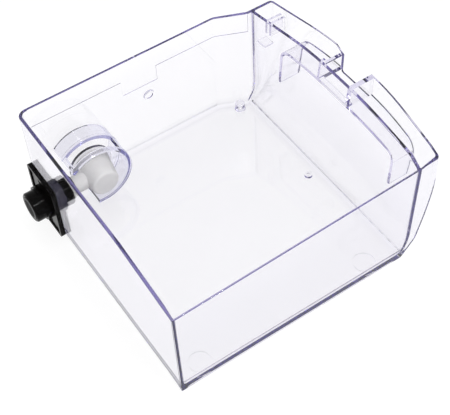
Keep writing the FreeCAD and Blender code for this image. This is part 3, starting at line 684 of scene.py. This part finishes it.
def moulded_plastic(name, first, second, rough, grain, depth, gloss=0.5, glow=0.0):
    """A coloured moulding: two close shades, uneven sheen and a fine mould grain."""
    material, nodes, links = new_material(name)
    shader = nodes["Principled BSDF"]
    patches = add_noise(nodes, links, 55.0, 5.0)
    add_shades(nodes, links, patches, first, second)
    sheen = add_noise(nodes, links, 160.0, 4.0)
    links.new(spread(nodes, links, sheen, rough * 0.8, rough * 1.25), shader.inputs["Roughness"])
    fine = add_noise(nodes, links, grain, 3.0)
    flow = add_noise(nodes, links, 90.0, 2.0, (0.3, 1.0, 1.0))
    add_bumps(nodes, links, [(flow, 0.00006, 0.25), (fine, depth, 0.6)])
    shader.inputs["Specular IOR Level"].default_value = gloss
    if glow:
        shader.inputs["Subsurface Weight"].default_value = glow
        shader.inputs["Subsurface Radius"].default_value = (1.0, 0.95, 0.9)
        shader.inputs["Subsurface Scale"].default_value = 0.0015
    return material


def drawn_steel(name):
    """Spring wire: drawn along its length, with fine dark lines and a slight tint."""
    material, nodes, links = new_material(name)
    shader = nodes["Principled BSDF"]
    shader.inputs["Metallic"].default_value = 1.0
    streaks = add_noise(nodes, links, 900.0, 3.0, (1.0, 0.15, 0.15))
    add_shades(nodes, links, streaks, (0.42, 0.42, 0.43), (0.66, 0.65, 0.64))
    links.new(spread(nodes, links, streaks, 0.2, 0.38), shader.inputs["Roughness"])
    add_bumps(nodes, links, [(streaks, 0.00001, 0.5)])
    return material


def finish_nodes(finishes):
    """Give each CAD node that shows the material of its slot."""
    for part in frame["record"]["subparts"]:
        cover(frame["nodes"][part["node"]], finishes[part["material_slot"]])


finishes = {
    "clear_plastic": clear_plastic("clear_plastic", (0.53, 0.48, 0.76), 30.0, 0.02, 0.00004),
    "hood_plastic": clear_plastic("hood_plastic", (0.52, 0.51, 0.76), 95.0, 0.03, 0.00003),
    "smoke_plastic": clear_plastic("smoke_plastic", (0.50, 0.49, 0.58), 150.0, 0.06, 0.00003),
    "black_plastic": moulded_plastic(
        "black_plastic", (0.0015, 0.0012, 0.0012), (0.0035, 0.003, 0.003), 0.17, 3200.0, 0.000005, 0.06),
    "nut_plastic": moulded_plastic(
        "nut_plastic", (0.06, 0.058, 0.095), (0.12, 0.115, 0.17), 0.36, 2600.0, 0.00001, 0.4),
    "grey_seal": moulded_plastic(
        "grey_seal", (0.075, 0.075, 0.078), (0.12, 0.12, 0.12), 0.6, 3600.0, 0.000012, 0.3),
    "black_rubber": moulded_plastic(
        "black_rubber", (0.008, 0.008, 0.008), (0.018, 0.017, 0.017), 0.7, 3600.0, 0.000015, 0.3),
    "washer_plastic": moulded_plastic(
        "washer_plastic", (0.5, 0.5, 0.51), (0.62, 0.62, 0.63), 0.45, 2600.0, 0.000008, 0.4, 0.3),
    "white_plastic": moulded_plastic(
        "white_plastic", (0.80, 0.79, 0.80), (0.87, 0.865, 0.87), 0.78, 2400.0, 0.00002, 0.1, 0.15),
    "poppet_plastic": moulded_plastic(
        "poppet_plastic", (0.55, 0.55, 0.54), (0.66, 0.66, 0.65), 0.4, 2800.0, 0.000008, 0.4, 0.2),
    "spring_steel": drawn_steel("spring_steel"),
}
finish_nodes(finishes)

tank = make_tank()
tank.name = "tank_walls"
cover(tank, finishes["clear_plastic"])
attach(tank, "tank")
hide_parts("tank_shell")

spring, spring_length, spring_seat = make_spring()
cover(spring, finishes["spring_steel"])
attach(spring, "tank")
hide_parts("valve_spring")
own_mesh(spring)


# ---------------------------------------------------------------- studio

def lit_paper():
    """Pale paper on a light table: faintly mottled, and lit from below."""
    material, nodes, links = new_material("lit_paper")
    shader = nodes["Principled BSDF"]
    mottle = add_noise(nodes, links, 14.0, 3.0)
    add_shades(nodes, links, mottle, (0.19, 0.19, 0.19), (0.21, 0.21, 0.21))
    shader.inputs["Roughness"].default_value = 0.9
    shader.inputs["Specular IOR Level"].default_value = 0.1
    shader.inputs["Emission Color"].default_value = (1, 1, 1, 1)
    shader.inputs["Emission Strength"].default_value = 0.85
    return material


bpy.ops.mesh.primitive_plane_add(size=12)
floor = bpy.context.object
floor.name = "floor"
floor.location.z = -FLOOR_DROP * MM
cover(floor, lit_paper())

# A small softbox aimed at the outlet, for the highlights on its black parts.
box = bpy.data.objects.new("softbox", bpy.data.lights.new("softbox", "AREA"))
scene.collection.objects.link(box)
box.data.shape = "RECTANGLE"
box.data.size = 0.10
box.data.size_y = 0.05
box.data.energy = 0.9
box.location = (0.03, -0.345, 0.634)
aim = Vector((-0.105, 0.0765, 0.0275)) - box.location
box.rotation_euler = aim.to_track_quat("-Z", "Y").to_euler()

world = bpy.data.worlds.new("studio")
scene.world = world
world.use_nodes = True
world.node_tree.nodes["Background"].inputs["Color"].default_value = (1, 1, 1, 1)
world.node_tree.nodes["Background"].inputs["Strength"].default_value = 0.95

camera = bpy.data.objects.new("camera", bpy.data.cameras.new("camera"))
scene.collection.objects.link(camera)
camera.location = (-0.251529, -0.431352, 0.657116)
camera.rotation_euler = [math.radians(turn) for turn in (38.1317, 2.3559, -34.1116)]
camera.data.lens = 87.70
camera.data.sensor_width = 36.0
camera.data.clip_start = 0.01
scene.camera = camera
scene.view_settings.view_transform = "Standard"
scene.cycles.max_bounces = 64
scene.cycles.glossy_bounces = 48
scene.cycles.transmission_bounces = 64
